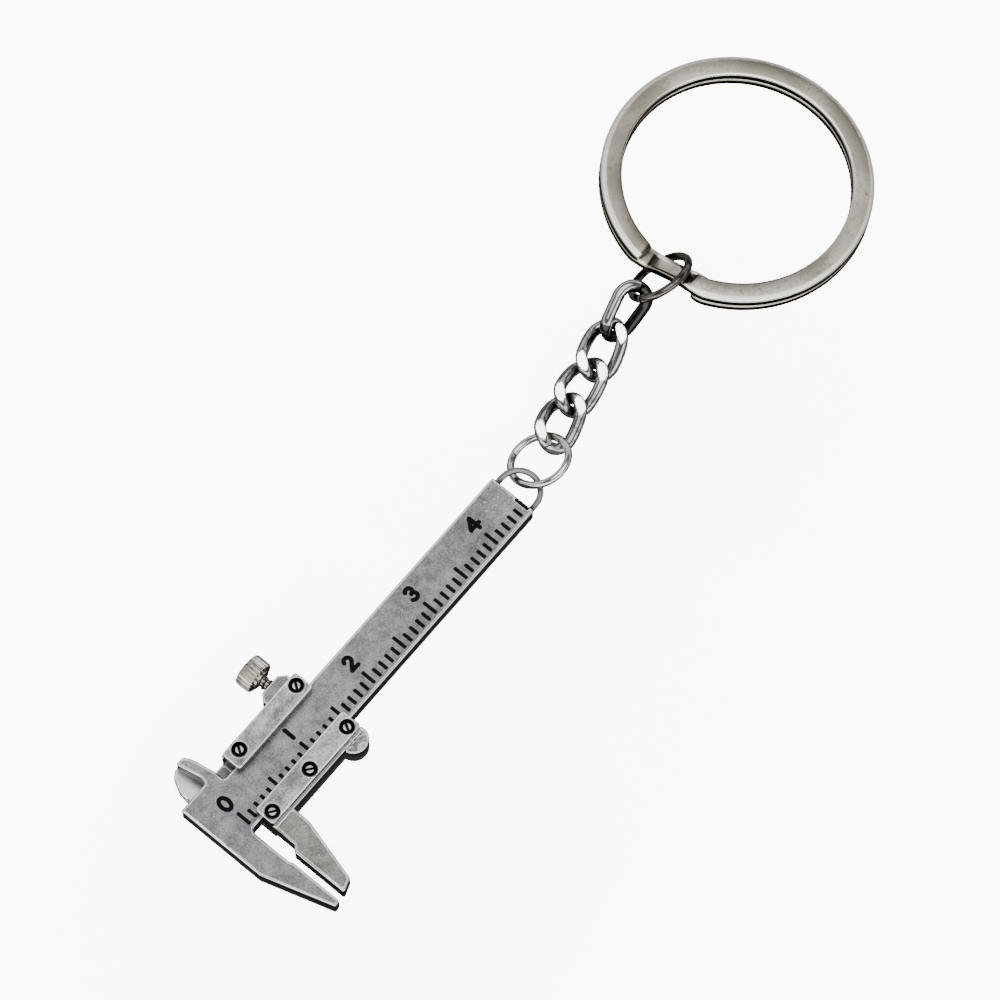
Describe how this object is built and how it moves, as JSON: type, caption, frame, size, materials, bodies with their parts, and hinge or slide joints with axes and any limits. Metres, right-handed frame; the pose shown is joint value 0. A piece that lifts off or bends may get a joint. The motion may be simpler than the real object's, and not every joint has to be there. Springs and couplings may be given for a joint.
{
  "type": "caliper keychain",
  "caption": "Miniature working slide caliper with grooved scale, guide strips and lock screw, hung on a curb chain and a flat-band split key ring.",
  "frame": {"origin": "on the scale's zero mark and the bar's centre line, on the slider's back face, which the caliper rests on", "axes": "+X along the bar from the jaws to the loop and the chain, +Y across the bar toward the inside nibs and the lock screw, +Z out of the scale face, up when the part lies on its back"},
  "size_m": [0.1067, 0.0343, 0.0076],
  "materials": {
    "cast_bar": "satin grey plated zinc casting",
    "cast_slider": "satin grey plated zinc casting",
    "strip": "satin plated metal",
    "screw": "dark bright-edged steel",
    "lock_screw": "nickel-plated, straight knurl",
    "chain": "bright nickel plate",
    "split_ring": "bright nickel plate"
  },
  "bodies": {
    "beam": {"main_beam": "cast_bar"},
    "slider": {"slider_body": "cast_slider", "upper_guide_strip": "strip", "lower_guide_strip": "strip", "strip_screw_1": "screw", "strip_screw_2": "screw", "strip_screw_3": "screw", "strip_screw_4": "screw", "strip_screw_5": "screw"},
    "lock_screw": {"lock_screw": "lock_screw"},
    "jump_ring": {"jump_ring": "chain"},
    "chain_link_1": {"chain_link_1": "chain"},
    "chain_link_2": {"chain_link_2": "chain"},
    "chain_link_3": {"chain_link_3": "chain"},
    "chain_link_4": {"chain_link_4": "chain"},
    "connector_ring": {"connector_ring": "chain"},
    "split_ring": {"split_ring": "split_ring"}
  },
  "joints": [
    {"name": "slider_travel", "type": "slide", "parent": "beam", "child": "slider", "axis": [1, 0, 0], "range_m": [-0.00085, 0.029]},
    {"name": "lock_screw_turn", "type": "hinge", "parent": "slider", "child": "lock_screw", "pos_m": [0.01277, 0.0031, 0.00265], "axis": [0, 1, 0], "range_deg": [0, 540]},
    {"name": "jump_ring_swing", "type": "hinge", "parent": "beam", "child": "jump_ring", "pos_m": [0.0462, 0, 0.00265], "axis": [0, 0, 1], "range_deg": [-35, 35]},
    {"name": "chain_link_1_swing", "type": "hinge", "parent": "jump_ring", "child": "chain_link_1", "pos_m": [0.05215, 0.00086, 0.00256], "axis": [-0.1121, 0.7035, 0.7018], "range_deg": [-40, 30]},
    {"name": "chain_link_2_swing", "type": "hinge", "parent": "chain_link_1", "child": "chain_link_2", "pos_m": [0.05811, 0.00257, 0.0018], "axis": [-0.2777, 0.656, -0.7018], "range_deg": [-40, 20]},
    {"name": "chain_link_3_swing", "type": "hinge", "parent": "chain_link_2", "child": "chain_link_3", "pos_m": [0.0615, 0.00274, 0.00137], "axis": [-0.2891, 0.651, 0.7018], "range_deg": [-40, 15]},
    {"name": "chain_link_4_swing", "type": "hinge", "parent": "chain_link_3", "child": "chain_link_4", "pos_m": [0.06744, 0.00456, 0.00213], "axis": [-0.1243, 0.7014, -0.7018], "range_deg": [-20, 45]},
    {"name": "connector_ring_swing", "type": "hinge", "parent": "chain_link_4", "child": "connector_ring", "pos_m": [0.07057, 0.00427, 0.00416], "axis": [0.1989, 0.6149, -0.7631], "range_deg": [-45, 45]},
    {"name": "split_ring_swing", "type": "hinge", "parent": "connector_ring", "child": "split_ring", "pos_m": [0.07527, 0.00363, 0.00446], "axis": [-0.0698, 0.9976, 0], "range_deg": [-45, 45]}
  ]
}
